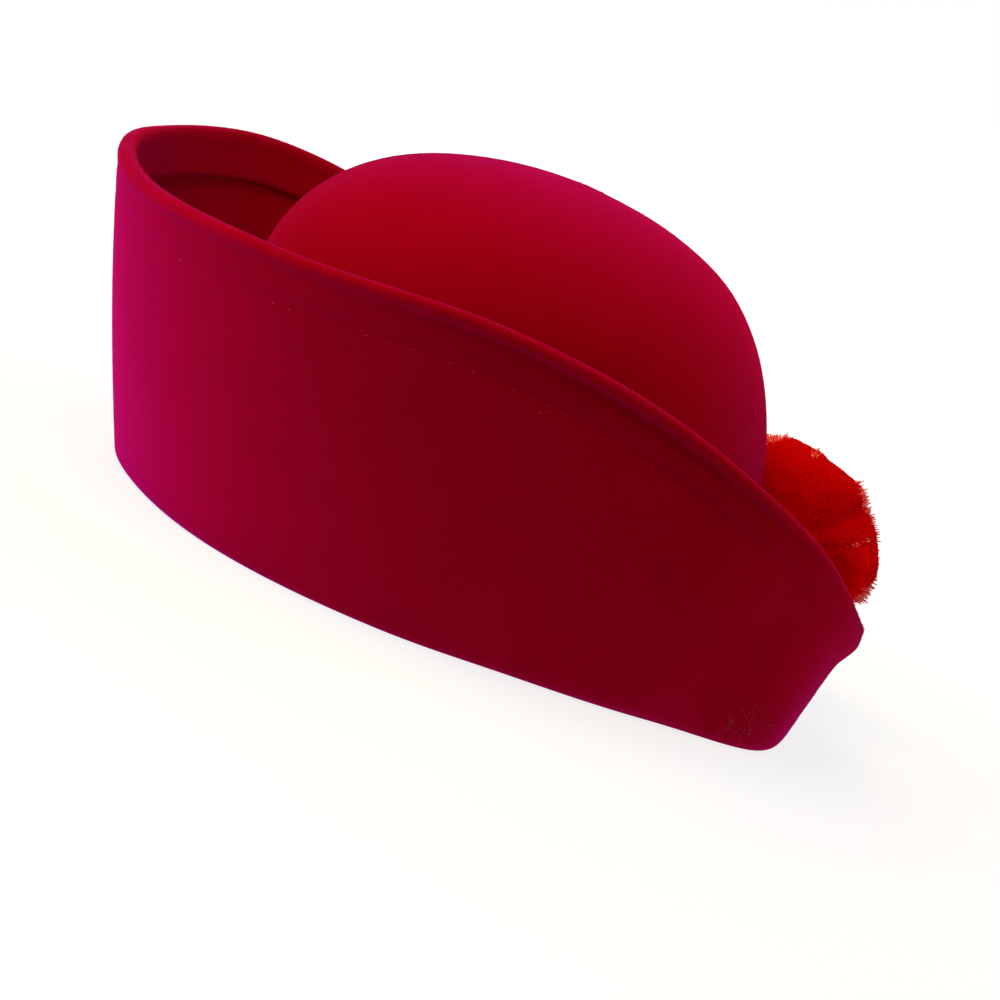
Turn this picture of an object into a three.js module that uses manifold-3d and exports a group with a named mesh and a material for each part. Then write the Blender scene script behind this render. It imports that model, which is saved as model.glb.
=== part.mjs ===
// A red wool-felt hat: a round dome crown, a deep brim turned up all round as a flaring cuff with a turned
// and stitched edge, and a clipped round pompom standing behind the crown, in the wide back of the trough.
// Millimetres, +Z up. The front of the hat is -Y, the wearer's left is +X, and the brim's flat underside
// is at z = 0.
import * as THREE from 'three';
import { mergeVertices } from 'three/addons/utils/BufferGeometryUtils.js';
import Module from 'manifold-3d';

const wasm = await Module();
wasm.setup();

// Driving dimensions
const felt = 2.2;                 // thickness of the felt
const gap = 0.3;                  // clearance between neighbouring pieces
const weld = 1e-4;                // points closer than this are one point
const segments = { around: 64, dome: 12, wall: 5, bend: 5, rim: 4 };

const crown = {
  halfWidth: 82.5,                // outer half-axes of the head oval, for a 56 cm head inside
  halfLength: 99.5,
  shoulder: 84,                   // height where the upright wall turns into the dome
  height: 155,
  fullness: { up: 2.25, out: 2.1 }, // exponents of the dome's rounded oval, 2 is a plain ellipse
};

// The turned-up brim, by angle from the front. The felt runs out from the crown over the trough, bends up
// and leans outwards to the rim, bowed by a little in between. The other side mirrors these rows.
const cuffStations = [
  { angle: 0, trough: 17, lean: 43, height: 102, bend: 8, bow: -1.5 },
  { angle: 30, trough: 20, lean: 42, height: 108, bend: 7, bow: -1.5 },
  { angle: 60, trough: 17, lean: 38, height: 116, bend: 7, bow: 0 },
  { angle: 90, trough: 15, lean: 33, height: 109, bend: 7, bow: 0 },
  { angle: 120, trough: 31, lean: 26, height: 86, bend: 6, bow: 0.5 },
  { angle: 150, trough: 52, lean: 12, height: 51, bend: 4, bow: 0.5 },
  { angle: 180, trough: 54, lean: 10, height: 49, bend: 4, bow: 1 },
];

const hem = {
  width: 18,                      // the edge is turned in over this width and sewn down
  thickness: 2 * felt,
};

const pompom = {
  centre: new THREE.Vector3(0, 137, 59),
  reach: 39,                      // from the centre to the clipped ends of the locks
  head: 30,                       // radius of the tied head that the locks grow from
  locks: 30,
  sides: 8,                       // of a lock, across
  flatTop: 3,                     // how much shorter the locks are clipped on top
  button: 9,                      // radius of the sewn backing against the crown
};

// One lock of the pompom, from its root inside the head to its blunt clipped end
const lockRows = [
  { belowEnd: 30, radius: 0 },
  { belowEnd: 5, radius: 12.5 },
  { belowEnd: 1.75, radius: 9.4 },
  { belowEnd: 0, radius: 0 },
];

// Mirrored rows as closed curves around the hat
const ring = [...cuffStations, ...cuffStations.slice(1, -1).reverse()];
const formCurve = closedCurve((row) => new THREE.Vector3(row.trough, row.lean, row.height));
const bendCurve = closedCurve((row) => new THREE.Vector3(row.bend, row.bow, 0));

function closedCurve(pick) {
  return new THREE.CatmullRomCurve3(ring.map(pick), true, 'catmullrom', 0.5);
}

// Distance from the axis to the crown's outer wall at a plan angle
function crownRadius(angle) {
  return 1 / Math.hypot(Math.sin(angle) / crown.halfWidth, Math.cos(angle) / crown.halfLength);
}

// Sizes of the cuff at a plan angle: where its wall would meet the ground, and how it bends and leans
function cuffAt(angle) {
  const turn = THREE.MathUtils.euclideanModulo(angle / (2 * Math.PI), 1);
  const form = formCurve.getPoint(turn);
  const bending = bendCurve.getPoint(turn);
  const tilt = Math.atan2(form.y, form.z);
  return {
    foot: crownRadius(angle) + form.x,
    lean: form.y,
    height: form.z,
    tilt,
    bend: bending.x,
    bow: bending.y,
    setback: bending.x * Math.tan((Math.PI / 2 - tilt) / 2),
    start: (bending.x * (1 - Math.sin(tilt))) / form.z,
  };
}

// A point of the cuff's section, s = 0 at the foot and 1 at the rim, moved inwards from the outer face by depth
function cuffPoint(cuff, s, depth) {
  const along = (s - cuff.start) / (1 - cuff.start);
  const bowed = cuff.bow * Math.sin(Math.PI * along);
  const slope = (cuff.bow * Math.PI * Math.cos(Math.PI * along)) / (1 - cuff.start);
  const inward = new THREE.Vector2(-cuff.height, cuff.lean - slope).normalize();
  const outer = new THREE.Vector2(cuff.foot + cuff.lean * s - bowed, cuff.height * s);
  return outer.addScaledVector(inward, depth);
}

// An arc of the bend at the foot, from the flat underside up to the leaning wall
function bendArc(cuff, radius) {
  const points = [];
  for (let i = 0; i <= segments.bend; i++) {
    const turned = ((Math.PI / 2 - cuff.tilt) * i) / segments.bend;
    points.push(new THREE.Vector2(
      cuff.foot - cuff.setback + radius * Math.sin(turned),
      cuff.bend - radius * Math.cos(turned),
    ));
  }
  return points;
}

// Half a turn over the rim, from the outer face to the inner face of the hem
function rimRound(cuff, s) {
  const outer = cuffPoint(cuff, s, 0);
  const inner = cuffPoint(cuff, s, hem.thickness);
  const middle = outer.clone().add(inner).multiplyScalar(0.5);
  const points = [];
  for (let i = 1; i < segments.rim; i++) {
    points.push(outer.clone().rotateAround(middle, (Math.PI * i) / segments.rim));
  }
  return points;
}

// Closed section of the whole brim: underside, bend, outer wall, rim, hem, inner wall, trough floor
function brimSection(angle) {
  const cuff = cuffAt(angle);
  const opening = crownRadius(angle) - felt;
  const hemTop = 1 - hem.thickness / 2 / cuff.height;
  const hemFoot = 1 - hem.width / cuff.height;
  const wall = (from, to, depth) => {
    const points = [];
    for (let i = 1; i <= segments.wall; i++) {
      points.push(cuffPoint(cuff, from + ((to - from) * i) / segments.wall, depth));
    }
    return points;
  };
  return [
    new THREE.Vector2(opening, 0),
    ...bendArc(cuff, cuff.bend),
    ...wall(cuff.start, hemFoot, 0),
    cuffPoint(cuff, hemTop, 0),
    ...rimRound(cuff, hemTop),
    cuffPoint(cuff, hemTop, hem.thickness),
    cuffPoint(cuff, hemFoot, hem.thickness),
    cuffPoint(cuff, hemFoot - felt / 2 / cuff.height, felt),
    ...wall(hemFoot, cuff.start, felt).slice(0, -1),
    ...bendArc(cuff, cuff.bend - felt).reverse(),
    new THREE.Vector2(opening, felt),
  ];
}

// Section of the crown's shell, from the top of its outer face round the lower edge to the top inside
function crownSection(angle) {
  const foot = felt + gap;
  const face = (inset) => {
    const radius = crownRadius(angle) - inset;
    const rise = crown.height - inset - crown.shoulder;
    const points = [];
    for (let i = 0; i <= segments.dome; i++) {
      const turned = (Math.PI / 2) * (1 - i / segments.dome);
      const out = i ? Math.cos(turned) ** (2 / crown.fullness.out) : 0;
      const up = Math.sin(turned) ** (2 / crown.fullness.up);
      points.push(new THREE.Vector2(radius * out, crown.shoulder + rise * up));
    }
    points.push(new THREE.Vector2(radius, (crown.shoulder + foot) / 2), new THREE.Vector2(radius, foot));
    return points;
  };
  return [...face(0), ...face(felt).reverse()];
}

// Lofts a section around the Z axis. A section either closes on itself or starts and ends on the axis.
function loftAround(sectionAt, onAxis) {
  const positions = [];
  const index = [];
  const count = sectionAt(0).length;
  for (let j = 0; j < segments.around; j++) {
    const angle = (2 * Math.PI * j) / segments.around;
    for (const point of sectionAt(angle)) {
      positions.push(point.x * Math.sin(angle), -point.x * Math.cos(angle), point.y);
    }
  }
  const last = onAxis ? count - 1 : count;
  for (let j = 0; j < segments.around; j++) {
    const next = (j + 1) % segments.around;
    for (let i = 0; i < last; i++) {
      const a = j * count + i;
      const b = j * count + ((i + 1) % count);
      const c = next * count + ((i + 1) % count);
      const d = next * count + i;
      if (!(onAxis && i === last - 1)) index.push(a, b, c);
      if (!(onAxis && i === 0)) index.push(a, c, d);
    }
  }
  const geometry = new THREE.BufferGeometry();
  geometry.setAttribute('position', new THREE.Float32BufferAttribute(positions, 3));
  geometry.setIndex(index);
  return facingOut(mergeVertices(geometry, weld));
}

// Turns a closed geometry the right way round by the sign of its volume
function facingOut(geometry) {
  const [a, b, c] = [new THREE.Vector3(), new THREE.Vector3(), new THREE.Vector3()];
  const index = geometry.index.array;
  let volume = 0;
  for (let i = 0; i < index.length; i += 3) {
    a.fromBufferAttribute(geometry.attributes.position, index[i]);
    b.fromBufferAttribute(geometry.attributes.position, index[i + 1]);
    c.fromBufferAttribute(geometry.attributes.position, index[i + 2]);
    volume += a.dot(b.cross(c));
  }
  if (volume < 0) geometry.setIndex(Array.from(index).reverse());
  return geometry;
}

// A geometry's shared points merged, as a solid that can be joined and cut
function toSolid(geometry) {
  const bare = geometry.clone();
  bare.deleteAttribute('normal');
  bare.deleteAttribute('uv');
  const merged = facingOut(mergeVertices(bare, weld));
  const mesh = new wasm.Mesh({
    numProp: 3,
    vertProperties: new Float32Array(merged.attributes.position.array),
    triVerts: new Uint32Array(merged.index.array),
  });
  return new wasm.Manifold(mesh);
}

function toGeometry(solid) {
  const mesh = solid.getMesh();
  const geometry = new THREE.BufferGeometry();
  geometry.setAttribute('position', new THREE.Float32BufferAttribute(mesh.vertProperties, 3));
  geometry.setIndex(new THREE.Uint32BufferAttribute(mesh.triVerts, 1));
  return geometry;
}

// A lock that ends at the given length from the pompom's centre
function lockGeometry(direction, length) {
  const profile = lockRows.map((row) => new THREE.Vector2(row.radius, length - row.belowEnd));
  const geometry = new THREE.LatheGeometry(profile, pompom.sides);
  geometry.applyQuaternion(new THREE.Quaternion().setFromUnitVectors(new THREE.Vector3(0, 1, 0), direction));
  return geometry.translate(pompom.centre.x, pompom.centre.y, pompom.centre.z);
}

// The pompom: locks spread evenly over a round head, flattened where it presses on the crown and the cuff
function pompomGeometry() {
  const head = new THREE.IcosahedronGeometry(pompom.head, 2);
  head.translate(pompom.centre.x, pompom.centre.y, pompom.centre.z);
  let solid = toSolid(head);
  const goldenAngle = Math.PI * (3 - Math.sqrt(5));
  for (let i = 0; i < pompom.locks; i++) {
    const height = 1 - (2 * (i + 0.5)) / pompom.locks;
    const across = Math.sqrt(1 - height * height);
    const turned = goldenAngle * i;
    const direction = new THREE.Vector3(across * Math.cos(turned), across * Math.sin(turned), height);
    const length = pompom.reach - pompom.flatTop * Math.max(0, height) ** 4;
    solid = solid.add(toSolid(lockGeometry(direction, length)));
  }
  const crownBack = crown.halfLength + gap;
  const buttonDepth = pompom.centre.y - crownBack;
  const button = new THREE.CylinderGeometry(pompom.button, pompom.button, buttonDepth, pompom.sides * 2);
  button.translate(pompom.centre.x, (crownBack + pompom.centre.y) / 2, pompom.centre.z);
  solid = solid.add(toSolid(button));
  return toGeometry(solid.subtract(toSolid(crownRoom())).subtract(toSolid(cuffRoom())));
}

// The crown's own room with a clearance around it
function crownRoom() {
  return loftAround((angle) => {
    const radius = crownRadius(angle) + gap;
    return [
      new THREE.Vector2(0, crown.height),
      new THREE.Vector2(radius, crown.height),
      new THREE.Vector2(radius, 0),
      new THREE.Vector2(0, 0),
    ];
  }, true);
}

// The cuff's own room with a clearance inside and above it, out to past the pompom's reach
function cuffRoom() {
  return loftAround((angle) => {
    const cuff = cuffAt(angle);
    const face = [];
    for (let i = 0; i <= segments.wall; i++) {
      const s = cuff.start + ((1 - cuff.start) * i) / segments.wall;
      face.push(cuffPoint(cuff, s, hem.thickness + gap));
    }
    const top = cuff.height + 2 * gap;
    const beyond = cuff.foot + cuff.lean + pompom.reach;
    face[segments.wall].y = top;
    return [
      new THREE.Vector2(crownRadius(angle), felt + 2 * gap),
      new THREE.Vector2(face[0].x, felt + 2 * gap),
      ...face,
      new THREE.Vector2(beyond, top),
      new THREE.Vector2(beyond, -pompom.reach),
      new THREE.Vector2(crownRadius(angle), -pompom.reach),
    ];
  }, false);
}

const feltMaterial = new THREE.MeshStandardMaterial({ color: '#a3062a', roughness: 0.95, metalness: 0 });
const pompomMaterial = new THREE.MeshStandardMaterial({ color: '#b40010', roughness: 0.9, metalness: 0 });

const hat = new THREE.Group();
for (const [name, geometry, material] of [
  ['crown', loftAround(crownSection, true), feltMaterial],
  ['brim', loftAround(brimSection, false), feltMaterial],
  ['pompom', pompomGeometry(), pompomMaterial],
]) {
  const mesh = new THREE.Mesh(geometry, material);
  mesh.name = name;
  hat.add(mesh);
}

// The origin is under the middle of the hat's footprint box
const footprint = new THREE.Box3().setFromObject(hat).getCenter(new THREE.Vector3());
hat.position.set(-footprint.x, -footprint.y, 0);

export default hat;
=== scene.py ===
# %% [markdown]
# A red felt hat, piece by piece
#
# The hat is one of the oldest kinds there is: wool felt, steamed and pulled over wooden blocks. Its crown is
# a round derby dome. Its brim is deep and turned up all round, so that it stands as a flaring cuff, and its
# edge is turned in and sewn down. A clipped pompom sits behind the crown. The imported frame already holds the
# three solids at their real size, and this lesson gives each of them the surface that the real one has.

# %% Loading the frame
import math

import bmesh
import bpy
import numpy as np
from mathutils import Matrix, Vector


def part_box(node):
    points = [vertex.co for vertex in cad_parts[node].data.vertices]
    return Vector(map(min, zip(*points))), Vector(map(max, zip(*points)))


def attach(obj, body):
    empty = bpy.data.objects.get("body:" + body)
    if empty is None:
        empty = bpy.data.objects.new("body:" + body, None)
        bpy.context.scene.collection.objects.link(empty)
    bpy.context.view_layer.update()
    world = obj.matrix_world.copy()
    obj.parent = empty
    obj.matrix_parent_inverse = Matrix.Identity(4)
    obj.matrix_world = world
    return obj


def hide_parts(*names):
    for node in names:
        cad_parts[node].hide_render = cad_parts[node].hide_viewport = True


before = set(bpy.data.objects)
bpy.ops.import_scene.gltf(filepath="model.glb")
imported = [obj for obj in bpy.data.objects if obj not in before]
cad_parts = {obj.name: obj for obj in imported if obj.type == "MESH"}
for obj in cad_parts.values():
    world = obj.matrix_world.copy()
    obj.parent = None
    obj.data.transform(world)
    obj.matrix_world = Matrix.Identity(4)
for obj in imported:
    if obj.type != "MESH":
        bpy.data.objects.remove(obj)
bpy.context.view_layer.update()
print("nodes in the frame:", sorted(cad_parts))

# %% [markdown]
# The sizes of the hat
#
# The frame tells where each solid lies, so the crown's oval and its height are read from it. The front of the
# hat is -Y and the wearer's left is +X. What the boxes can't tell, such as how far the brim leans out at each
# side, is a short table with a row for every 30 degrees from the front. The other side mirrors it, but for a
# slightly higher far front rim.

# %% Sizes
MM = 0.001
FELT = 2.2 * MM
crown_low, crown_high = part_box("crown")
AXIS_Y = (crown_low.y + crown_high.y) / 2
HALF_WIDTH = (crown_high.x - crown_low.x) / 2
HALF_LENGTH = (crown_high.y - crown_low.y) / 2
CROWN_TOP = crown_high.z
SHOULDER = 84 * MM


def table(columns, *rows):
    """Rows of a table, each with its columns named."""
    return [dict(zip(columns.split(), row)) for row in rows]


def between(rows, known, wanted, value):
    """A column of a table, read between its rows at a value of another column."""
    return np.interp(value, [row[known] for row in rows], [row[wanted] for row in rows])


# angle: in degrees from the front. trough: width of the flat part. lean: how far the cuff leans out.
# height: of its rim. bend: radius at its foot. bow: how far its wall bows inwards. roll and lip: depth and
# width of the groove under the rim, as shares. nose: how far the edge swells out. Lengths are in mm.
CUFF = table(
    "angle trough lean height bend bow roll lip nose",
    (0, 17, 43, 101.6, 6, -1.5, 0.2, 1.0, 0),
    (30, 20.5, 41.5, 107, 4, -1.5, 0.25, 1.0, 0),
    (60, 17.5, 37.5, 115.3, 4, 0, 0.7, 0.95, 0),
    (90, 15, 33, 107.4, 5, 0, 1.0, 1.0, 0),
    (120, 30, 27, 85.2, 8, 0.5, 0.4, 0.85, 0.4),
    (150, 52.8, 10.4, 53, 4, 0.5, 0.12, 0.8, 2.5),
    (180, 54, 10, 49.5, 4, 1, 0.15, 0.8, 1.6),
)
LENGTHS, SHARES = ("trough", "lean", "height", "bend", "bow", "nose"), ("roll", "lip")
oval = f"{2 * HALF_WIDTH / MM:.0f} x {2 * HALF_LENGTH / MM:.0f} mm"
print(f"crown oval {oval}, axis at y = {AXIS_Y / MM:.1f} mm")

# %% [markdown]
# Small helpers
#
# Every operator works on what is selected, so a piece starts with nothing selected. A finished piece keeps
# its place in its mesh, and its object sits at the origin like the solids of the frame.


# %% Helpers for objects
def deselect():
    """Leaves edit mode and selects nothing."""
    if bpy.context.object and bpy.context.object.mode != "OBJECT":
        bpy.ops.object.mode_set(mode="OBJECT")
    bpy.ops.object.select_all(action="DESELECT")


def take(name):
    """Names the object that was just added."""
    piece = bpy.context.object
    piece.name = piece.data.name = name
    return piece


def apply_modifier(piece, kind, **settings):
    """Adds a modifier with its settings and makes its result the mesh."""
    modifier = piece.modifiers.new(kind.title(), kind)
    for key, value in settings.items():
        setattr(modifier, key, value)
    bpy.context.view_layer.objects.active = piece
    bpy.ops.object.modifier_apply(modifier=modifier.name)


def corners_of(mesh):
    """The places of a mesh's vertices, a row for each."""
    places = np.empty(3 * len(mesh.vertices))
    mesh.vertices.foreach_get("co", places)
    return places.reshape(-1, 3)


def store(piece, name, values):
    """Keeps a value for each vertex, which a material can read by its name."""
    piece.data.attributes.new(name, "FLOAT", "POINT").data.foreach_set("value", values)


def finish_piece(piece, node, material):
    """Places the mesh for good, gives it its finish and hides the frame's solid that it replaces."""
    deselect()
    piece.select_set(True)
    bpy.context.view_layer.objects.active = piece
    bpy.ops.object.transform_apply(location=True, rotation=True, scale=True)
    bpy.ops.object.shade_smooth()
    piece.data.materials.clear()
    piece.data.materials.append(material)
    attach(piece, "root")
    if node:
        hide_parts(node)
    piece.data.calc_loop_triangles()
    print(f"{piece.name}: {len(piece.data.loop_triangles)} triangles")


# %% [markdown]
# How the brim stands
#
# The brim runs out flat from the crown, bends up and leans out to its rim. Between the table's rows a smooth
# closed curve carries each size round the hat. Two small shapes lie between the rows and are added as humps:
# the rounded corner at the back, where the trough widens, and the rise of the far front rim.


# %% Sizes of the brim at any angle
RING = CUFF + CUFF[-2:0:-1]
BACK_CORNER, BACK_CORNER_AT, BACK_CORNER_WIDTH = 8.2 * MM, math.radians(137.5), math.radians(8.5)
FAR_RISE, FAR_RISE_AT, FAR_RISE_WIDTH = 1.3 * MM, math.radians(-19), math.radians(13)
# The section of the swollen edge: its share of the swelling at each depth under the rim, in mm.
NOSE = table(
    "below share",
    (0, -0.7), (2.5, 0.3), (5, 0.75), (8, 1), (11, 0.8), (14, 0.35), (17, 0), (22, -0.1), (28, 0),
)


def signed(angle):
    """The same angle from -180 to 180 degrees: the wearer's left is positive."""
    return (angle + math.pi) % (2 * math.pi) - math.pi


def hump(apart, width):
    """A smooth hump: 1 in its middle, falling to a third over its width."""
    return math.exp(-((apart / width) ** 2))


def crown_radius(angle):
    """From the axis to the crown's oval at an angle from the front."""
    return 1 / math.hypot(math.sin(angle) / HALF_WIDTH, math.cos(angle) / HALF_LENGTH)


def cuff_at(angle):
    """The brim's sizes in metres at an angle from the front, by a smooth closed curve through the rows."""
    place = (angle / (2 * math.pi)) % 1 * len(RING)
    first, t = int(place), place % 1
    sizes = {}
    for column in LENGTHS + SHARES:
        a, b, c, d = (RING[(first + k) % len(RING)][column] for k in (-1, 0, 1, 2))
        out, back = (c - a) / 2, (d - b) / 2
        sizes[column] = (
            b + out * t + (3 * (c - b) - 2 * out - back) * t**2 + (2 * (b - c) + out + back) * t**3
        ) * (MM if column in LENGTHS else 1)
    corner = BACK_CORNER * hump(abs(signed(angle)) - BACK_CORNER_AT, BACK_CORNER_WIDTH)
    sizes["trough"] += corner
    sizes["lean"] -= corner
    sizes["height"] += FAR_RISE * hump(signed(angle) - FAR_RISE_AT, FAR_RISE_WIDTH)
    tilt = math.atan2(sizes["lean"], sizes["height"])
    sizes.update(
        foot=crown_radius(angle) + sizes["trough"],
        tilt=tilt,
        setback=sizes["bend"] * math.tan((math.pi / 2 - tilt) / 2),
        start=sizes["bend"] * (1 - math.sin(tilt)) / sizes["height"],
    )
    return sizes


def cuff_point(cuff, s, depth):
    """A point of the cuff's section: s runs from foot to rim, 0 to 1, and depth inwards from its face."""
    along = (s - cuff["start"]) / (1 - cuff["start"])
    bowed = cuff["bow"] * math.sin(math.pi * along)
    slope = cuff["bow"] * math.pi * math.cos(math.pi * along) / (1 - cuff["start"])
    inward = Vector((-cuff["height"], cuff["lean"] - slope)).normalized()
    nose = cuff["nose"] * between(NOSE, "below", "share", (1 - s) * cuff["height"] / MM)
    return Vector((cuff["foot"] + cuff["lean"] * s - bowed, cuff["height"] * s)) + inward * (depth - nose)


heights = [cuff_at(math.radians(row["angle"]))["height"] / MM for row in CUFF]
print("height of the rim from front to back, in mm:", [round(height, 1) for height in heights])

# %% [markdown]
# Wool felt
#
# Felt has no weave. Wet wool fibres are worked until they lock into a dense mat, and what the eye meets is a
# matt surface with a short nap. The nap catches light at grazing angles, so the edges of each form look
# paler and more magenta than its middle. A Principled shader gives this with a rough base and a tinted sheen.
# The mottling of the mat is a noise of 22 mm, and the nap itself is a bump of 0.9 mm. Where felt was pressed
# and sewn its nap lies flat, and a value kept on the brim darkens the groove under the rim with painted shade.


# %% Helpers for materials
def srgb(hex_colour):
    """An sRGB hex value as a linear colour."""
    parts = [int(hex_colour[i : i + 2], 16) / 255 for i in (1, 3, 5)]
    return [c / 12.92 if c <= 0.04045 else ((c + 0.055) / 1.055) ** 2.4 for c in parts] + [1.0]


def add_node(tree, kind, inputs=None, links=None, **settings):
    """Adds a node with its settings, its socket values and the links into it."""
    node = tree.nodes.new(kind)
    for key, value in settings.items():
        setattr(node, key, value)
    for key, value in (inputs or {}).items():
        node.inputs[key].default_value = value
    for key, socket in (links or {}).items():
        tree.links.new(socket, node.inputs[key])
    return node


def new_material(name):
    """A material with no nodes yet, and its node tree."""
    material = bpy.data.materials.new(name)
    material.use_nodes = True
    material.node_tree.nodes.clear()
    return material, material.node_tree


# %% Blocked wool felt
PATCH, NAP_GRAIN = 22 * MM, 0.9 * MM


def blocked_wool_felt():
    """Wool dyed in the fleece, felted and steamed over a block: matt, with a short nap and no gloss."""
    material, tree = new_material("blocked_wool_felt")
    place = add_node(tree, "ShaderNodeTexCoord").outputs["Object"]
    patches = add_node(
        tree, "ShaderNodeTexNoise", {"Scale": 1 / PATCH, "Detail": 2.0}, {"Vector": place}
    ).outputs["Fac"]
    nap = add_node(
        tree, "ShaderNodeTexNoise", {"Scale": 1 / NAP_GRAIN, "Detail": 4.0}, {"Vector": place}
    ).outputs["Fac"]
    mottle = add_node(tree, "ShaderNodeMath", {1: 0.45}, {0: patches}, operation="MULTIPLY")
    grain = add_node(
        tree, "ShaderNodeMath", {1: 0.55}, {0: nap, 2: mottle.outputs[0]}, operation="MULTIPLY_ADD"
    )
    colour = add_node(tree, "ShaderNodeValToRGB", links={"Fac": grain.outputs[0]})
    low, high = colour.color_ramp.elements
    low.position, low.color = 0.25, srgb("#930008")
    high.position, high.color = 0.75, srgb("#a4000e")
    # Painted shade: the felt colour is mixed towards black in the groove under the rim, by a value kept on the
    # brim.
    dull = add_node(tree, "ShaderNodeAttribute", attribute_name="dull").outputs["Fac"]
    ground = (0, 0, 0, 1)
    felt_with_groove_shade = add_node(
        tree, "ShaderNodeMix", {7: ground}, {0: dull, 6: colour.outputs["Color"]}, data_type="RGBA"
    ).outputs[2]
    relief = add_node(tree, "ShaderNodeBump", {"Strength": 0.35, "Distance": 0.25 * MM}, {"Height": nap})
    shader = add_node(
        tree,
        "ShaderNodeBsdfPrincipled",
        {"Roughness": 1.0, "Specular IOR Level": 0.02, "Sheen Weight": 0.5, "Sheen Roughness": 0.5,
         "Sheen Tint": srgb("#ff00a0")},
        {"Base Color": felt_with_groove_shade, "Normal": relief.outputs["Normal"]},
    )
    add_node(tree, "ShaderNodeOutputMaterial", links={"Surface": shader.outputs["BSDF"]})
    return material


felt = blocked_wool_felt()
print("finish of the crown and the brim:", felt.name)

# %% [markdown]
# The crown
#
# A hatter steams a cone of felt and pulls it over a crown block, so the wall stands upright and turns into a
# dome with no seam. Here one ring is stretched to the head's oval and extruded up the wall. Over the dome it
# is extruded again and again, each time raised and drawn in a little more, and the last ring is closed with a
# grid of faces, which is raised to the same curve. Low at the back the felt was let out, and no crown leaves
# the block quite true. A Solidify modifier then gives the felt its thickness on the inside.

# %% Forms of the crown
# How much fuller the crown is behind, at each height above the ground, in mm.
FULLER_BACK = table(
    "above fuller",
    (0, 0), (20, 1.6), (40, 6), (58, 9), (70, 9.8), (80, 8.9), (90, 5.2), (100, 2.2), (114, 0),
)
# A faint flat and a faint fullness: the way each faces, how far it stands out in mm, its spread in radians.
UNEVEN = table(
    "faces out spread",
    (Vector((-0.3, -0.2, 0.93)), -0.5, 0.2),
    (Vector((0.03, 0.41, 0.91)), 1.5, 0.3),
)
# How square the dome's section is upwards and outwards: 2 would be a plain ellipse.
FULL_UP, FULL_OUT = 2.25, 2.1


def back_fullness(angle, height):
    """How far the felt was let out low at the back, where the crown doesn't stand upright."""
    behind = np.clip(-np.cos(angle), 0, 1) ** 0.7
    return behind * between(FULLER_BACK, "above", "fuller", np.asarray(height) / MM) * MM


def unevenness(normal):
    """How far the crown stands out of true, by the way its surface faces."""
    return sum(form["out"] * MM * hump(normal.angle(form["faces"]), form["spread"]) for form in UNEVEN)


def dome_height(share):
    """The dome's height where it is drawn in to a share of its width."""
    return SHOULDER + (CROWN_TOP - SHOULDER) * max(0, 1 - share**FULL_OUT) ** (1 / FULL_UP)


# %% Crown wall and dome
AROUND = 96
DOME_ROWS = 14
foot = FELT + 0.1 * MM
# Rows as a share of the oval and a height. The foot flares a little where it turns into the brim.
wall_rows = [
    (1 + 3 * MM / HALF_WIDTH, foot),
    (1 + 0.8 * MM / HALF_WIDTH, foot + 0.9 * MM),
    (1, foot + 3 * MM),
    (1, 30 * MM),
    (1, 58 * MM),
]
dome_rows = []
for k in range(DOME_ROWS + 1):
    turned = math.pi / 2 * k / (DOME_ROWS + 0.6)
    drawn_in = math.cos(turned) ** (2 / FULL_OUT)
    dome_rows.append((drawn_in, SHOULDER + (CROWN_TOP - SHOULDER) * math.sin(turned) ** (2 / FULL_UP)))

deselect()
bpy.ops.mesh.primitive_circle_add(vertices=AROUND, radius=1, location=(0, AXIS_Y, foot))
crown = take("felt_crown")
bpy.ops.object.mode_set(mode="EDIT")
bpy.ops.mesh.select_all(action="SELECT")
middle = (0, AXIS_Y, foot)
width, height = wall_rows[0]
bpy.ops.transform.resize(value=(HALF_WIDTH, HALF_LENGTH, 1), center_override=middle)
bpy.ops.transform.resize(value=(width, width, 1), center_override=middle)
for next_width, next_height in wall_rows[1:] + dome_rows:
    bpy.ops.mesh.extrude_region_move(TRANSFORM_OT_translate={"value": (0, 0, next_height - height)})
    bpy.ops.transform.resize(value=(next_width / width,) * 2 + (1,), center_override=(0, AXIS_Y, 0))
    width, height = next_width, next_height
bpy.ops.mesh.fill_grid(span=AROUND // 4)
bpy.ops.mesh.select_all(action="SELECT")
bpy.ops.mesh.normals_make_consistent(inside=False)
bpy.ops.object.mode_set(mode="OBJECT")
print(f"rows up the crown: {len(wall_rows + dome_rows)}, closed with a grid at {height / MM:.1f} mm")

# %% Crown off the block
for vert in crown.data.vertices:
    if vert.co.z + foot > height - 0.01 * MM:  # a point of the grid
        vert.co.z = dome_height(math.hypot(vert.co.x / HALF_WIDTH, vert.co.y / HALF_LENGTH)) - foot
crown.data.update()
for vert in crown.data.vertices:
    place = vert.co + vert.normal * unevenness(vert.normal)
    radius = math.hypot(place.x, place.y)
    if radius > HALF_WIDTH / 2:
        wider = 1 + back_fullness(math.atan2(place.x, -place.y), place.z + foot) / radius
        place.x, place.y = place.x * wider, place.y * wider
    vert.co = place
apply_modifier(crown, "SOLIDIFY", thickness=FELT, offset=-1)
apply_modifier(crown, "SUBSURF", levels=1, render_levels=1)
finish_piece(crown, "crown", felt)

# %% [markdown]
# The brim and its turned edge
#
# The brim is one sheet as well. At the rim the felt is folded over to the inside for 18 mm and sewn down. It
# makes the rim twice as thick, rounds it, and leaves a step inside where the cut edge ends. Sewing pulls a
# faint groove into the outside, and the fold stands proud above it. The same sheet is built here: a ring at
# the head opening is extruded along a list of rows, over the rim and down again, and each new ring is put in
# place by its angle. The rows under the rim are a table, because that is where the felt is worked.

# %% Rows of the brim
FOLD = FELT + 0.12 * MM
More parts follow.
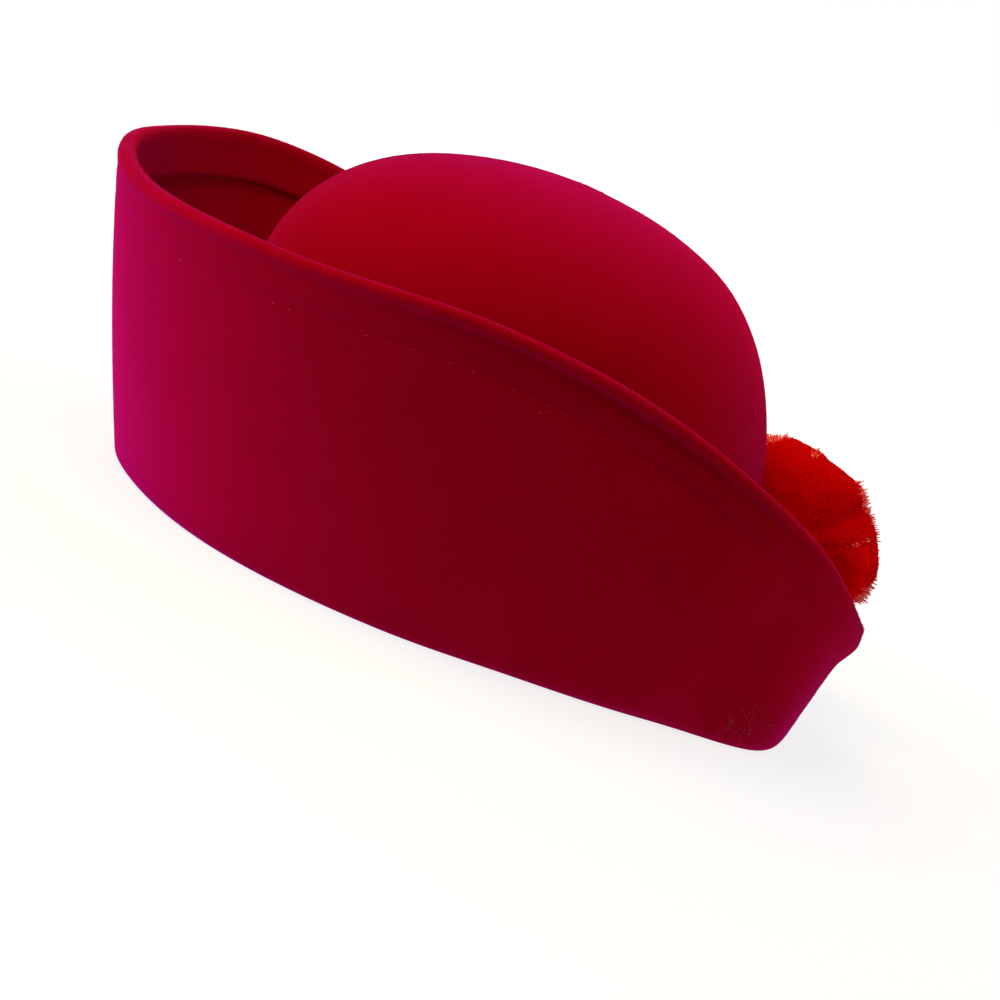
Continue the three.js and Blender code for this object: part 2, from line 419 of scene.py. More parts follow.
# Under the rim, in mm from the top: how far the outside stands out, and how much painted shade darkens it
# where its nap is pressed flat.
LIP = table(
    "below swell dull",
    (34, 0, 0),
    (24, 0, 0),
    (19, 0, 0),
    (17, -0.15, 0.03),
    (16, -0.85, 0.14),
    (14.6, -0.3, 0.14),
    (10.5, 0, 0.12),
    (8.4, -0.7, 0.1),
    (6.3, -1.9, 0.2),
    (4.9, -1.2, 0.24),
    (3.5, -0.2, 0.12),
    (2.0, 0, 0),
)
# The lip above the groove is narrower at the back: squeezed down to LIP_ENDS, and not at all past LIP_EASED.
LIP_ENDS, LIP_EASED, PAST_BRIM = 10.5, 19, 200
NARROWEST = 0.66
# How far the fold stands open, in mm, at each angle from the front in degrees.
LOOSE_FOLD = table(
    "angle gap",
    (0, 2.8), (22, 1.6), (40, 0.6), (60, 0.4), (90, 0.5), (120, 0.6), (150, 0.5), (180, 0.5),
)
# The turned-in edge: mm under the rim, and the share of the fold's gap that is left there.
HEM = table("below share", (5.5, 0.85), (9, 0.45), (13, 0.1), (16.5, 0), (18, 0))


def lip_scale(below, lip, back=False):
    """Depths under the rim, in mm, of the full lip's rows on a narrower lip, or the other way round."""
    wide, narrow = ((0, LIP_ENDS * share, LIP_EASED, PAST_BRIM) for share in (1, lip))
    return np.interp(below, *((narrow, wide) if back else (wide, narrow)))


def brim_rows(angle):
    """The points of the sheet's outer face at an angle: underside, bend, wall, lip, fold, turned-in hem."""
    cuff = cuff_at(angle)
    rise = cuff["height"]
    opening = crown_radius(angle) - FELT
    bend_start = cuff["foot"] - cuff["setback"]
    points = [Vector((opening + (bend_start - opening) * k / 3, 0)) for k in range(3)]
    for k in range(6):
        turned = (math.pi / 2 - cuff["tilt"]) * k / 5
        points.append(
            Vector((bend_start + cuff["bend"] * math.sin(turned), cuff["bend"] * (1 - math.cos(turned))))
        )
    lip_foot = 1 - LIP[0]["below"] * MM / rise
    for k in range(1, 6):
        points.append(cuff_point(cuff, cuff["start"] + (lip_foot - cuff["start"]) * k / 6, 0))
    for row in LIP[:-1]:  # the fold begins above the last row
        below = float(lip_scale(row["below"], cuff["lip"])) * MM
        points.append(cuff_point(cuff, 1 - below / rise, -row["swell"] * MM * cuff["roll"]))
    gap = MM * between(LOOSE_FOLD, "angle", "gap", math.degrees(abs(signed(angle))))
    top = 1 - (FOLD + gap / 2) / rise
    outer, inner = cuff_point(cuff, top, 0), cuff_point(cuff, top, 2 * FOLD + gap)
    centre, arm = (outer + inner) / 2, (outer - inner) / 2
    for k in range(7):
        turned = math.pi * k / 6
        across = Vector((-arm.y, arm.x))
        points.append(centre + arm * math.cos(turned) + across * math.sin(turned))
    for row in HEM:
        points.append(cuff_point(cuff, 1 - row["below"] * MM / rise, 2 * FOLD + gap * row["share"]))
    return points


# %% Brim
BRIM_AROUND = 128
rows_around = [brim_rows(2 * math.pi * k / BRIM_AROUND) for k in range(BRIM_AROUND)]
print(f"the sheet of the brim has {len(rows_around[0])} rows of {BRIM_AROUND} points")


def place_ring(sheet, row):
    """Puts the selected ring where its row lies, each point along its own direction from the axis."""
    for vert in sheet.verts:
        if vert.select:
            k = round(math.atan2(vert.co.x, -vert.co.y) * BRIM_AROUND / (2 * math.pi)) % BRIM_AROUND
            angle = 2 * math.pi * k / BRIM_AROUND
            point = rows_around[k][row]
            vert.co = (point.x * math.sin(angle), -point.x * math.cos(angle), point.y)


deselect()
bpy.ops.mesh.primitive_circle_add(vertices=BRIM_AROUND, radius=HALF_WIDTH, location=(0, AXIS_Y, 0))
brim = take("felt_brim")
bpy.ops.object.mode_set(mode="EDIT")
bpy.ops.mesh.select_all(action="SELECT")
place_ring(bmesh.from_edit_mesh(brim.data), 0)
for row in range(1, len(rows_around[0])):
    bpy.ops.mesh.extrude_region_move()
    place_ring(bmesh.from_edit_mesh(brim.data), row)
bmesh.update_edit_mesh(brim.data)
bpy.ops.mesh.select_all(action="SELECT")
bpy.ops.mesh.normals_make_consistent(inside=False)
bpy.ops.object.mode_set(mode="OBJECT")
underside = min(brim.data.polygons, key=lambda face: face.center.z)
if underside.normal.z > 0:
    brim.data.flip_normals()
apply_modifier(brim, "SOLIDIFY", thickness=FELT, offset=-1)
apply_modifier(brim, "SUBSURF", levels=1, render_levels=1)
finish_piece(brim, "brim", felt)

# %% Pressed felt and painted shade under the rim
angles = np.linspace(0, 2 * math.pi, 361)
around_sizes = [cuff_at(a) for a in angles]


def around(points, column):
    """One of the brim's sizes at the angle at which each point lies."""
    turned = np.arctan2(points[:, 0], AXIS_Y - points[:, 1]) % (2 * math.pi)
    return np.interp(turned, angles, [sizes[column] for sizes in around_sizes])


def below_rim(points):
    """How far points of the cuff lie under the rim, measured straight down."""
    return around(points, "height") - points[:, 2]


def groove_shade_share(points):
    """How much painted shade darkens the groove under the rim, where ironed and sewn felt has its nap pressed
    flat.
    """
    depth = below_rim(points) / MM
    narrow = lip_scale(depth, NARROWEST, back=True)
    depth += (narrow - depth) * (1 - around(points, "lip")) / (1 - NARROWEST)
    return around(points, "roll") * between(LIP[::-1], "below", "dull", depth)


# Painted shade for the groove under the rim, kept on the brim for its material.
dull = groove_shade_share(corners_of(brim.data))
store(brim, "dull", dull)
print(f"nap pressed flat by up to {dull.max():.0%}")

# %% [markdown]
# The pompom
#
# A pompom is many strands tied in the middle and clipped to a ball. The strands stay in bundles, so the ball
# has soft furrows between them, and each end is cut blunt. The shears leave flats where they cut deep, and
# frayed ends stand loose: their pale tips are a painted glow of light shining through them. The head gets
# painted shade in the furrows and a patch of painted light on one side. One strand is modelled here, a thin
# three-sided rod, and copied over a lobed head. Where the ball leans on the crown and lies in the cuff the
# strands are pressed short.


# %% Room for the pompom
POMPOM = np.array([0, AXIS_Y + 137.5 * MM, 58.5 * MM])
REACH = 39 * MM
HEAD = 30 * MM
CLEAR = 0.6 * MM
# A strand that is in the way is shortened by this share, and again while it still is.
SHORTER, TRIES = 0.96, 24


def pressed(directions, lengths):
    """Shortens each reach from the pompom's middle until its end is clear of the crown, cuff and trough."""
    lengths = lengths.copy()
    for _ in range(TRIES):
        ends = POMPOM + directions * lengths[:, None]
        x, y, z = ends[:, 0], ends[:, 1] - AXIS_Y, ends[:, 2]
        angle = np.arctan2(x, -y) % (2 * math.pi)
        radius = np.hypot(x, y)
        crown_wall = 1 / np.hypot(np.sin(angle) / HALF_WIDTH, np.cos(angle) / HALF_LENGTH)
        crown_wall += back_fullness(angle, z)
        height, lean, trough = (around(ends, column) for column in ("height", "lean", "trough"))
        cuff_face = crown_wall + trough + lean * z / height - 2 * FOLD
        in_crown = radius < crown_wall + CLEAR
        in_cuff = (z < height + CLEAR) & (radius > cuff_face - CLEAR)
        in_floor = z < FELT + CLEAR
        blocked = in_crown | in_cuff | in_floor
        if not blocked.any():
            break
        lengths[blocked] *= SHORTER
    return lengths


# %% Clipped wool pile
def clipped_pile():
    """Worsted yarn dyed in the hank and cut after: full red, with painted light, shade and glow on it."""
    material, tree = new_material("clipped_wool_pile")
    fray_and_painted_light = add_node(tree, "ShaderNodeAttribute", attribute_name="fray_and_painted_light").outputs["Fac"]
    colour = add_node(tree, "ShaderNodeValToRGB", links={"Fac": fray_and_painted_light})
    ramp = colour.color_ramp
    ramp.elements[0].position, ramp.elements[0].color = 0.0, srgb("#a80000")
    ramp.elements[1].position, ramp.elements[1].color = 1.0, srgb("#ffccec")
    for position, hex_colour in ((0.4, "#d40002"), (0.6, "#fa0006"), (0.8, "#fa5a68")):
        ramp.elements.new(position).color = srgb(hex_colour)
    shader = add_node(
        tree,
        "ShaderNodeBsdfPrincipled",
        {"Roughness": 0.9, "Specular IOR Level": 0.02, "Sheen Weight": 0.1, "Sheen Roughness": 0.4,
         "Sheen Tint": srgb("#ff0020")},
        {"Base Color": colour.outputs["Color"]},
    )
    add_node(tree, "ShaderNodeOutputMaterial", links={"Surface": shader.outputs["BSDF"]})
    return material


pile = clipped_pile()
print("finish of the pompom:", pile.name)

# %% Bundles of strands
BUNDLES = 150
GOLDEN = math.pi * (3 - math.sqrt(5))


def unit(vectors):
    """The same arrows, one unit long."""
    return vectors / np.linalg.norm(vectors, axis=-1, keepdims=True)


def sphere_points(count):
    """Directions spread evenly over a ball."""
    k = np.arange(count) + 0.5
    z = 1 - 2 * k / count
    across = np.sqrt(1 - z * z)
    return np.stack([across * np.cos(GOLDEN * k), across * np.sin(GOLDEN * k), z], 1)


random = np.random.default_rng(5)
bundle_ways = unit(sphere_points(BUNDLES) + random.normal(0, 0.12, (BUNDLES, 3)))
bundle_reach = 1 + random.normal(0, 0.022, BUNDLES)
print(f"{BUNDLES} bundles of strands, from {bundle_reach.min():.0%} to {bundle_reach.max():.0%} long")
# Marks are arcs between two directions, so wide in radians. Sheared ones are so many mm deep, or stand out.
SHEARED = table(
    "from to depth width",
    ((-0.08, 0.23, 0.97), (-0.08, 0.23, 0.97), 5.1, 0.36),
    ((0.25, 0.72, 0.65), (0.25, 0.72, 0.65), 4.2, 0.36),
    ((0.90, -0.20, 0.38), (0.62, 0.42, 0.66), 2.4, 0.12),
    ((0.96, -0.20, 0.19), (0.66, 0.63, 0.41), 0.8, 0.05),
    ((0.90, 0.43, 0.11), (0.90, 0.43, 0.11), -1.6, 0.22),
    ((0.50, 0.85, -0.18), (0.50, 0.85, -0.18), -2.4, 0.25),
    ((0.42, 0.87, 0.27), (0.42, 0.87, 0.27), 3.0, 0.17),
    ((0.17, 0.61, 0.77), (0.17, 0.61, 0.77), 3.2, 0.15),
    ((0.52, -0.46, 0.72), (0.19, -0.11, 0.98), -0.8, 0.06),
)
# Frayed marks: strands stand loose there, and their tips get a pale painted glow of light shining through
# them.
FRAYED = table(
    "from to width",
    ((-0.19, -0.47, 0.86), (-0.36, -0.31, 0.88), 0.1),
    ((0.48, 0.41, 0.77), (0.40, 0.86, 0.32), 0.11),
    ((0.49, 0.87, -0.04), (0.77, 0.59, -0.26), 0.1),
    ((0.30, -0.24, 0.92), (0.20, -0.15, 0.97), 0.03),
    ((0.95, 0.12, 0.30), (0.76, 0.48, 0.44), 0.009),
)
# A patch of painted light: the pile is paler on this side of the ball, where more light falls on it.
PAINTED_LIGHT_PATCH = {"from": (0.90, 0.43, 0.11), "to": (0.77, 0.50, -0.40), "width": 0.4}


def near_arc(directions, mark):
    """How near each direction is to the arc of a mark: 1 on the arc, falling to a third over its width."""
    steps = np.linspace(0, 1, 9)[:, None]
    arc = unit(np.array(mark["from"]) * (1 - steps) + np.array(mark["to"]) * steps)
    apart = np.arccos(np.clip(directions @ arc.T, -1, 1)).min(1)
    return np.exp(-((apart / mark["width"]) ** 2))


def frayed(directions):
    """How frayed the ends are in each direction, from 0 to 1."""
    return np.max([near_arc(directions, mark) for mark in FRAYED], axis=0)


def furrows(directions):
    """How deep the furrow between two bundles is in each direction, from 0 to 1."""
    apart = np.sort(np.arccos(np.clip(directions @ bundle_ways.T, -1, 1)), axis=1)
    return np.exp(-(((apart[:, 1] - apart[:, 0]) / 0.05) ** 2))


def pile_reach(directions):
    """How far the pile reaches in each direction: bundles differ a little, and the shears left marks."""
    share = np.exp((directions @ bundle_ways.T - 1) / 0.012)
    lobes = share @ bundle_reach / share.sum(1)
    cut = sum(mark["depth"] * near_arc(directions, mark) for mark in SHEARED) + 0.8 * frayed(directions)
    return REACH * (lobes - 0.006 * furrows(directions)) - cut * MM


# %% Pompom head
UNDER_PILE = 0.6 * MM
deselect()
bpy.ops.mesh.primitive_ico_sphere_add(subdivisions=6, radius=HEAD, location=(0, 0, 0))
head = take("pompom_head")
ways = corners_of(head.data) / HEAD
reach = pressed(ways, pile_reach(ways) - UNDER_PILE)
head.data.vertices.foreach_set("co", (POMPOM + ways * reach[:, None]).ravel())
# Painted light and shade: paler on the painted light patch, darker in the furrows between bundles.
store(head, "fray_and_painted_light", 0.42 + 0.13 * near_arc(ways, PAINTED_LIGHT_PATCH) - 0.1 * furrows(ways))
finish_piece(head, "pompom", pile)

# %% [markdown]
# Things made once and copied
#
# A strand, a hair of the nap or a stitch is modelled once, one unit long. A copy of its mesh is set at each
# place by three arrows: across it, along it and out, which is the way it points. All copies of a kind are
# joined in one mesh.


# %% Helpers for copies
def unit_rod(name, sides, tip, rings=1, bend=0.0):
    """A closed rod from 0 to 1 along z, one unit thick at its foot, narrower at its tip and bent sideways."""
    deselect()
    bpy.ops.mesh.primitive_circle_add(vertices=sides, radius=1, fill_type="NGON", location=(0, 0, 0))
    rod = take(name)
    bpy.ops.object.mode_set(mode="EDIT")
    bpy.ops.mesh.select_all(action="SELECT")
    for k in range(1, rings + 1):
        aside = bend * (math.sin(math.pi * k / rings) - math.sin(math.pi * (k - 1) / rings))
        bpy.ops.mesh.extrude_region_move(TRANSFORM_OT_translate={"value": (aside, 0, 1 / rings)})
        bpy.ops.transform.resize(value=(tip ** (1 / rings),) * 2 + (1,), center_override=(0, 0, 0))
    bpy.ops.mesh.select_all(action="SELECT")
    bpy.ops.mesh.normals_make_consistent(inside=False)
    bpy.ops.object.mode_set(mode="OBJECT")
    return rod


def copies(name, model, places, across, along, out):
    """Joins a copy of the model at each place, its x, y and z axes laid along the three arrows."""
    corners = np.array([v.co for v in model.data.vertices])
    frames = np.stack([across, along, out], 1)
    verts = places[:, None, :] + np.einsum("nk,mkj->mnj", corners, frames)
    faces = [tuple(polygon.vertices) for polygon in model.data.polygons]
    step = len(corners)
    mesh = bpy.data.meshes.new(name)
    all_faces = [tuple(k * step + v for v in face) for k in range(len(places)) for face in faces]
    mesh.from_pydata(verts.reshape(-1, 3).tolist(), [], all_faces)
    bpy.data.objects.remove(model)
    joined = bpy.data.objects.new(name, mesh)
    bpy.context.scene.collection.objects.link(joined)
    return joined


def crosswise(out, count):
    """Two arrows at right angles to out, turned at random."""
    across = unit(np.cross(out, random.normal(size=(count, 3))))
    return across, np.cross(out, across)


# %% Strands of the pile
STRANDS = 24000
STRAND_LENGTH = 5 * MM
STRAND_RADIUS = 0.36 * MM
# The share of strands that stand loose where the pile is frayed most.
LOOSE = 0.75


def pile_side(name, directions):
    """Half of the pile: a clipped strand in each direction, some of them loose, paler at the tip with painted
    glow.
    """
    count = len(directions)
    loose = random.random(count) < LOOSE * frayed(directions)
    beyond = np.where(loose, random.normal(0.5, 0.7, count), random.normal(0, 0.07, count))
    length = pressed(directions, pile_reach(directions) + beyond * MM)
    lean = unit(directions + random.normal(0, 0.05, (count, 3)))
    across, along = crosswise(lean, count)
    foot = POMPOM + directions * length[:, None] - lean * STRAND_LENGTH
    thick = STRAND_RADIUS * random.uniform(0.8, 1.1, count)[:, None]
    rod = unit_rod(name, 3, 0.75)
    tips = np.array([v.co.z for v in rod.data.vertices]) > 0.5
    strands = copies(name, rod, foot, across * thick, along * thick, lean * STRAND_LENGTH)
    # Painted light: strands on the patch side of the ball are paler.
    painted_light = 0.13 * near_arc(directions, PAINTED_LIGHT_PATCH)
    # Painted glow: loose tips are painted pale, as light shining through them; other tips are a little paler
    # than feet.
    paleness = np.where(loose, random.uniform(0.7, 1.0, count), random.uniform(0.41, 0.47, count) + painted_light)
    fray_and_painted_light = np.where(tips[None, :], paleness[:, None], np.where(loose, 0.5, 0.38 + painted_light)[:, None])
    store(strands, "fray_and_painted_light", fray_and_painted_light.ravel())
    finish_piece(strands, None, pile)


even = unit(sphere_points(2 * STRANDS) + random.normal(0, 0.004, (2 * STRANDS, 3)))
for name, side in (("pompom_pile_left", even[:, 0] >= 0), ("pompom_pile_right", even[:, 0] < 0)):
    pile_side(name, even[side][:STRANDS])

# %% [markdown]
# The nap of the felt
#
# Brushing raises short fibres on the whole hat, and most where the felt is folded over at the rim: there they
# stand across the light and draw a pale fuzzy line, whose paleness is a painted highlight in their colour.
# Loose fibres lie here and there, longer and curled. Hairs are three-sided spikes about as thick as a small
# lock of fibres, because one of 0.02 mm wouldn't show.


# %% Raised nap
def raised_nap(name, deep, light):
    """Wool fibres lifted off the felt in a paler red: on the nap the paleness is a painted highlight of light
    through them.
    """
    material, tree = new_material(name)
    place = add_node(tree, "ShaderNodeTexCoord").outputs["Object"]
    tone = add_node(
        tree, "ShaderNodeTexNoise", {"Scale": 1 / (1.5 * MM), "Detail": 1.0}, {"Vector": place}
    ).outputs["Fac"]
    colour = add_node(tree, "ShaderNodeValToRGB", links={"Fac": tone})
    dark, pale = colour.color_ramp.elements
    dark.position, dark.color = 0.35, srgb(deep)
    pale.position, pale.color = 0.7, srgb(light)
    shader = add_node(
        tree,
        "ShaderNodeBsdfPrincipled",
        {"Roughness": 0.9, "Specular IOR Level": 0.1, "Sheen Weight": 0.3, "Sheen Tint": srgb("#ff4080")},
        {"Base Color": colour.outputs["Color"]},
    )
    add_node(tree, "ShaderNodeOutputMaterial", links={"Surface": shader.outputs["BSDF"]})
    return material


# The paler hair colour is a painted highlight along the rim and over the crown.
nap = raised_nap("raised_wool_nap_painted_highlight", "#a80014", "#e03a58")


# %% Places on the felt
# An arrow that is square to nothing in the hat, so that no two triangles lie equally far along it.
SORTED_ALONG = np.array((1, 0.6180339, 0.7548777))


def scatter(piece, count, chance):
    """Random places on a piece, with their normals. Chance weighs a triangle by its middle and its normal."""
    mesh = piece.data
    mesh.calc_loop_triangles()
    total = len(mesh.loop_triangles)
    corners = np.empty(3 * total, dtype=np.int32)
    mesh.loop_triangles.foreach_get("vertices", corners)
    triangles = corners_of(mesh)[corners.reshape(-1, 3)]
    # Extruding may list a mesh's faces in another order each time, and the places have to stay the same.
    triangles = triangles[np.argsort(triangles.mean(1) @ SORTED_ALONG)]
    normals = np.cross(triangles[:, 1] - triangles[:, 0], triangles[:, 2] - triangles[:, 0])
    areas = np.linalg.norm(normals, axis=1)
    normals /= np.maximum(areas, 1e-12)[:, None]
    weights = areas * chance(triangles.mean(1), normals)
    chosen = random.choice(total, count, p=weights / weights.sum())
    a, b = random.random((2, count))
    over = a + b > 1
    a[over], b[over] = 1 - a[over], 1 - b[over]
    t = triangles[chosen]
    return t[:, 0] + (t[:, 1] - t[:, 0]) * a[:, None] + (t[:, 2] - t[:, 0]) * b[:, None], normals[chosen]


# Least and most thickness of a hair, in mm.
HAIR_THICK = (0.025, 0.045)
SUNK = 0.1 * MM


def nap_hairs(name, piece, count, chance, length):
    """Short hairs that stand out of a piece, each leaning its own way, with its foot sunk in the felt."""
    places, out = scatter(piece, count, chance)
    lean = unit(out + random.normal(0, 0.45, (count, 3)))
    across, along = crosswise(lean, count)
    thick = random.uniform(*HAIR_THICK, count)[:, None] * MM
    long = random.uniform(0.5, 1.0, count)[:, None] * length
    hair = unit_rod(name, 3, 0.3)
    hairs = copies(name, hair, places - lean * SUNK, across * thick, along * thick, lean * long)
    finish_piece(hairs, None, nap)


# %% Hairs
def on_brim(degrees, share):
    """A place on the brim's outer face, by its angle from the front and its share of the height."""
    angle = math.radians(degrees)
    point = cuff_point(cuff_at(angle), share, 0)
    return np.array((point.x * math.sin(angle), AXIS_Y - point.x * math.cos(angle), point.y))


def near(points, place, spread):
    """How near points are to a place: 1 at it, falling to a third over the spread."""
    return np.exp(-np.sum(((points - place) / spread) ** 2, axis=1))


def rim_chance(p, n):
    """Rubbed up most along the rim, and at one spot of the side, where a finger raised it."""
    rubbed = 0.002 + 1.2 * near(p, on_brim(64, 0.89), 3 * MM)
    return (p[:, 2] > 1.5 * MM) * (np.exp(-((below_rim(p) / (4.5 * MM)) ** 2)) + rubbed)


def lint_chance(p, n):
    """Loose fibres gather low at the back, where the brim is touched and set down."""
    outward = n[:, 0] * p[:, 0] + n[:, 1] * (p[:, 1] - AXIS_Y) > 0.02
    low = near(p, on_brim(132, 0.1), 12 * MM) + near(p, on_brim(152, 0.3), 8 * MM)
    return outward * (p[:, 2] > 2.5 * MM) * (0.0008 + low)


nap_hairs("rim_nap", brim, 24000, rim_chance, 0.8 * MM)
nap_hairs("crown_nap", crown, 14000, lambda p, n: (n[:, 2] > -0.2) & (p[:, 2] > 20 * MM), 0.5 * MM)

# %% Loose fibres
LINT = 48
LINT_THICK = 0.045 * MM
LIFTED, OFF_GROUND = 0.08 * MM, 0.2 * MM
places, out = scatter(brim, LINT, lint_chance)
aside, way = crosswise(out, LINT)
long = random.uniform(2.5, 7, LINT)[:, None] * MM
fibre = unit_rod("felt_lint", 3, 0.6, rings=6, bend=14)
feet = places + out * LIFTED - way * long / 2
lint = copies("felt_lint", fibre, feet, aside * LINT_THICK, out * LINT_THICK, way * long)
for vert in lint.data.vertices:
    vert.co.z = max(vert.co.z, OFF_GROUND)
finish_piece(lint, None, raised_nap("loose_wool_fibre", "#c03048", "#e88c98"))

# %% [markdown]
# The stitches of the hem
#
# The turned-in edge is sewn by hand: a slanting stitch catches the cut edge inside, and only pricks the
# outside, where short bits of thread show 17 mm under the rim. About half of them sink in the nap.


# %% Cotton thread
def sewing_thread(name, pale):
    """Spun cotton thread: two plies, matt, a little paler than the felt because it takes the dye less."""
    material, tree = new_material(name)
    place = add_node(tree, "ShaderNodeTexCoord").outputs["Object"]
    plies = add_node(
        tree, "ShaderNodeTexWave", {"Scale": 1 / (0.5 * MM), "Distortion": 1.0}, {"Vector": place}
    ).outputs["Fac"]
    colour = add_node(tree, "ShaderNodeValToRGB", links={"Fac": plies})
    colour.color_ramp.elements[0].color = srgb("#980010")
    colour.color_ramp.elements[1].color = srgb(pale)
    shader = add_node(
        tree, "ShaderNodeBsdfPrincipled", {"Roughness": 0.85, "Specular IOR Level": 0.2},
        {"Base Color": colour.outputs["Color"]},
    )
    add_node(tree, "ShaderNodeOutputMaterial", links={"Surface": shader.outputs["BSDF"]})
    return material


# %% Stitches
THREAD = 0.13 * MM


def sewn_row(name, below, spacing, length, slant, inside, missing, material):
    """A row of stitches round the brim, below mm under the rim, each laid on the felt and half sunk in it."""
    places, across, along, out = [], [], [], []
    turned = 0.0
    while turned < 2 * math.pi - 0.01:
        cuff = cuff_at(turned)
        side = Vector((math.sin(turned), -math.cos(turned), 0))
        rough = cuff_point(cuff, 1 - below * MM / cuff["height"], (3 * FOLD if inside else -0.5 * FELT))
        guess = Vector((side.x * rough.x, side.y * rough.x + AXIS_Y, rough.y))
        place, normal = brim.closest_point_on_mesh(guess)[1:3]
        forward = Vector((0, 0, 1)).cross(side)
        forward = (forward - normal * forward.dot(normal)).normalized()
        upward = normal.cross(forward)
        way = (forward * math.cos(slant) + upward * math.sin(slant)).normalized()
        if random.random() > missing:
            size = length * random.uniform(0.8, 1.2)
            places.append(place - normal * 0.02 * MM - way * size / 2)
            out.append(way * size)
            across.append(normal * THREAD)
            along.append(way.cross(normal) * THREAD)
        turned += spacing * random.uniform(0.75, 1.25) / (cuff["foot"] + cuff["lean"])
    rod = unit_rod(name, 6, 0.7, rings=3, bend=1.0)
    row = copies(name, rod, *(np.array(rows) for rows in (places, across, along, out)))
    finish_piece(row, None, material)


outside = sewing_thread("cotton_thread_outside", "#c85070")
sewn_row("hem_pricks", 17, 7 * MM, 0.9 * MM, 0.2, False, 0.5, outside)
inside = sewing_thread("cotton_thread_inside", "#a00418")
sewn_row("hem_stitches", 16.5, 5 * MM, 2.2 * MM, 1.1, True, 0.0, inside)

# %% [markdown]
# Floor, light and camera
#
# A pale floor and a pale surround stand for the plain studio. The light is soft and comes from the upper
# left, as the shades on the felt show. The camera leans to the side, which is how the picture tilts the hat.


# %% Floor
def by_camera(tree, seen, unseen):
    """What the camera sees and, in its place, the light that reaches the hat."""
    camera_ray = add_node(tree, "ShaderNodeLightPath").outputs["Is Camera Ray"]
    return add_node(tree, "ShaderNodeMixShader", links={0: camera_ray, 1: unseen, 2: seen}).outputs["Shader"]


def length_of(tree, vector):
    """The length of an arrow, as a node's output."""
    return add_node(tree, "ShaderNodeVectorMath", links={0: vector}, operation="LENGTH").outputs["Value"]


# Where the table's glow starts to rise and where it stops, in metres from the middle, and how bright it is.
GLOW_FROM, GLOW_TO, GLOW = 0.3, 1.6, {"To Min": 0.8, "To Max": 1.05}
# The lamps lie in ovals round the hat's foot, whose own reach is 1. Each stop is a quarter of the distance,
# with its warm and its violet light.
FOOT_OVAL = {"Location": (0, -0.074, 0), "Scale": (10.26, 7.41, 1)}
LAMPS_NEAR = ((0.31, (0.38, 0.8)), (0.36, (0.06, 0.06)), (1.0, (0.05, 0.05)))
LAMPS_LEFT = ((0.31, (0.40, 1.6)), (0.36, (0.6, 2.0)), (0.44, (0.6, 2.0)), (0.5, (0.07, 0.3)))
LEFT_OF_PICTURE = (-0.41, -0.91, 0)


def lamp_ramp(tree, outward, stops):
    """A row of lamps: how brightly the table is lit at each distance."""
    ramp = add_node(tree, "ShaderNodeValToRGB", links={"Fac": outward})
    elements = ramp.color_ramp.elements
    elements.remove(elements[1])
    for position, (warm, violet) in stops:
        elements.new(position).color = (warm, warm, violet, 1)
    elements.remove(elements[0])
    return ramp.outputs["Color"]


def studio_floor():
    """A table of white acrylic with lamps under it, brighter outwards, which barely lights the hat itself."""
    material, tree = new_material("lit_acrylic_table")
    place = add_node(tree, "ShaderNodeTexCoord").outputs["Object"]
    reach = {"From Min": GLOW_FROM, "From Max": GLOW_TO, **GLOW}
    glow = add_node(tree, "ShaderNodeMapRange", reach, {"Value": length_of(tree, place)}).outputs["Result"]
    white = {"Base Color": srgb("#8496a4"), "Roughness": 0.9, "Specular IOR Level": 0.0}
    white["Emission Color"] = srgb("#ffffff")
    seen = add_node(tree, "ShaderNodeBsdfPrincipled", white, {"Emission Strength": glow}).outputs["BSDF"]
    faint = dict(white, **{"Base Color": srgb("#bcbcbc"), "Emission Strength": 1.0})
    foot_oval = add_node(tree, "ShaderNodeMapping", FOOT_OVAL, {"Vector": place}).outputs["Vector"]
    from_foot = length_of(tree, foot_oval)
    outward = add_node(tree, "ShaderNodeMath", {1: 0.25}, {0: from_foot}, operation="MULTIPLY").outputs[0]
    near_lamps, left_lamps = (lamp_ramp(tree, outward, stops) for stops in (LAMPS_NEAR, LAMPS_LEFT))
    leftward = add_node(
        tree, "ShaderNodeVectorMath", {1: LEFT_OF_PICTURE}, {0: place}, operation="DOT_PRODUCT"
    ).outputs["Value"]
    side = add_node(
        tree, "ShaderNodeMapRange", {"From Min": -0.02, "From Max": 0.08}, {"Value": leftward}
    ).outputs["Result"]
    tint = add_node(
        tree, "ShaderNodeMix", links={0: side, 6: near_lamps, 7: left_lamps}, data_type="RGBA"
    ).outputs[2]
    unseen = add_node(tree, "ShaderNodeBsdfPrincipled", faint, {"Emission Color": tint}).outputs["BSDF"]
    add_node(tree, "ShaderNodeOutputMaterial", links={"Surface": by_camera(tree, seen, unseen)})
    deselect()
    bpy.ops.mesh.primitive_circle_add(vertices=96, radius=12, fill_type="NGON", location=(0, 0, 0))
    floor = take("floor")
    floor.data.materials.append(material)


studio_floor()


# %% Surround
def studio_surround():
    """A white backdrop far off: the camera sees it white, and little of its light comes back to the hat."""
    world = bpy.data.worlds.new("studio")
    bpy.context.scene.world = world
    world.use_nodes = True
    tree = world.node_tree
    tree.nodes.clear()
    white, dim = (
        add_node(
            tree, "ShaderNodeBackground", {"Strength": strength, "Color": srgb("#ffffff")}
        ).outputs["Background"]
        for strength in (1.0, 0.03)
    )
    add_node(tree, "ShaderNodeOutputWorld", links={"Surface": by_camera(tree, white, dim)})


studio_surround()

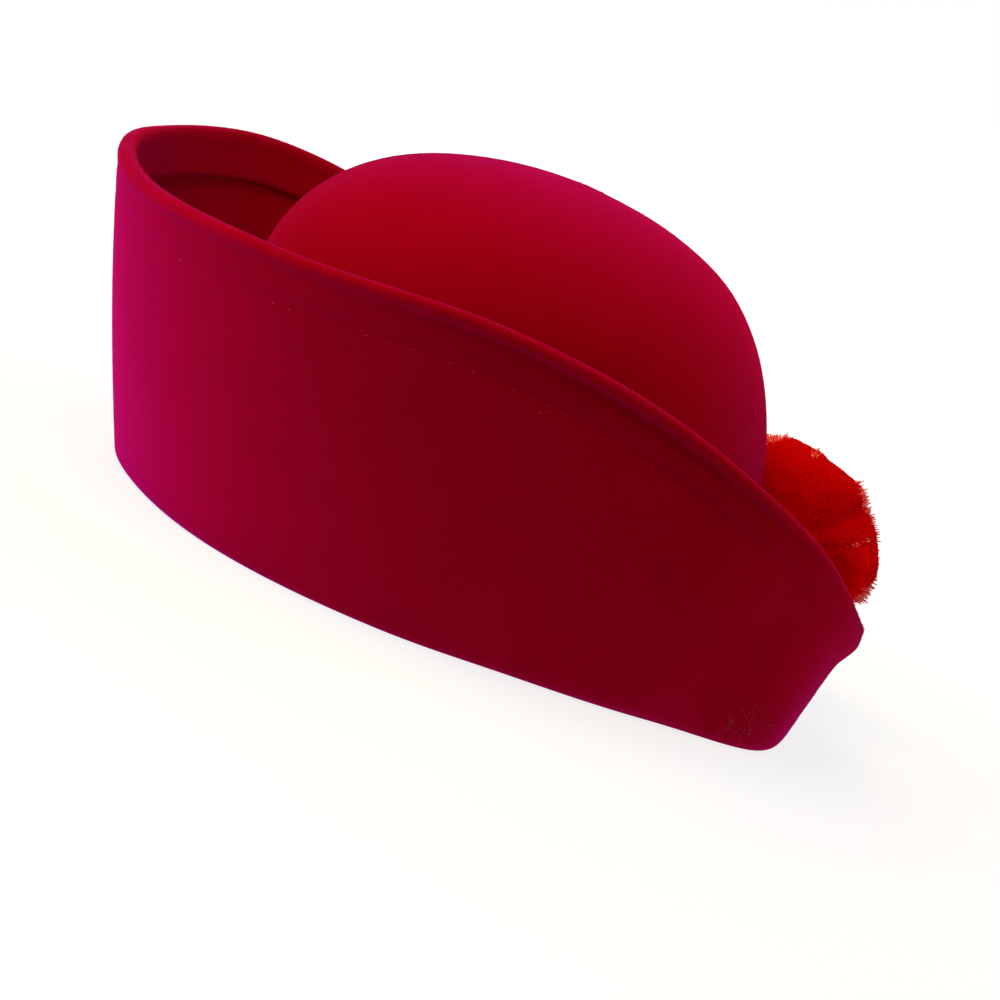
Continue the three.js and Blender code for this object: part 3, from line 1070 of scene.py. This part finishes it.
# %% Camera
AZIMUTH, ELEVATION, ROLL = math.radians(61.3), math.radians(10.5), math.radians(24.7)
DISTANCE = 1.2013
SENSOR, LENS = 36, 119.7
TARGET = Vector((13.7, 5.1, 39.8)) * MM
back = Vector((
    math.sin(AZIMUTH) * math.cos(ELEVATION), -math.cos(AZIMUTH) * math.cos(ELEVATION), math.sin(ELEVATION)
))
right = Vector((0, 0, 1)).cross(back).normalized()
up = back.cross(right)
camera_data = bpy.data.cameras.new("camera")
camera = bpy.data.objects.new("camera", camera_data)
bpy.context.scene.collection.objects.link(camera)
camera_data.sensor_width, camera_data.lens = SENSOR, LENS
picture_right = right * math.cos(ROLL) + up * math.sin(ROLL)
picture_up = up * math.cos(ROLL) - right * math.sin(ROLL)
turn = Matrix((picture_right, picture_up, back)).transposed().to_4x4()
camera.matrix_world = Matrix.Translation(TARGET + back * DISTANCE) @ turn
camera_data.clip_end = 50
bpy.context.scene.camera = camera
print("camera at", [round(value, 3) for value in camera.matrix_world.translation])


# %% Lights
LIGHT_DISTANCE, LIGHT_SIZE = 1.6, 1.0


def soft_light(name, toward, power, colour):
    """A square soft box that faces the hat. Toward is its way in the picture: right, up and to the viewer."""
    data = bpy.data.lights.new(name, "AREA")
    data.shape, data.size, data.energy, data.color = "SQUARE", LIGHT_SIZE, power, srgb(colour)[:3]
    light = bpy.data.objects.new(name, data)
    bpy.context.scene.collection.objects.link(light)
    way = (picture_right * toward[0] + picture_up * toward[1] + back * toward[2]).normalized()
    light.location = TARGET + way * LIGHT_DISTANCE
    light.rotation_mode = "QUATERNION"
    light.rotation_quaternion = way.to_track_quat("Z", "Y")
    light.visible_camera = False


for name, toward, power, colour in (
    ("key_above", (0, 0.85, 0.5), 17.4, "#ffcf68"),
    ("window_left", (-0.72, 0.52, 0.5), 16.5, "#6e82ff"),
    ("fill_above_left", (-0.5, 0.85, 0.2), 9.5, "#ffcf59"),
    ("fill_behind", (0, 0.75, -0.7), 7, "#ffd8a0"),
    ("fill_right", (1, 0, 0.05), 8.3, "#ffd37c"),
    ("rim_right", (0.85, 0.1, -0.6), 3.6, "#ced2ff"),
    ("window_right", (0.65, 0.6, -0.3), 4, "#5868ff"),
):
    soft_light(name, toward, power, colour)
    print(f"{name}: {power} W")
bpy.context.scene.view_settings.view_transform = "Standard"
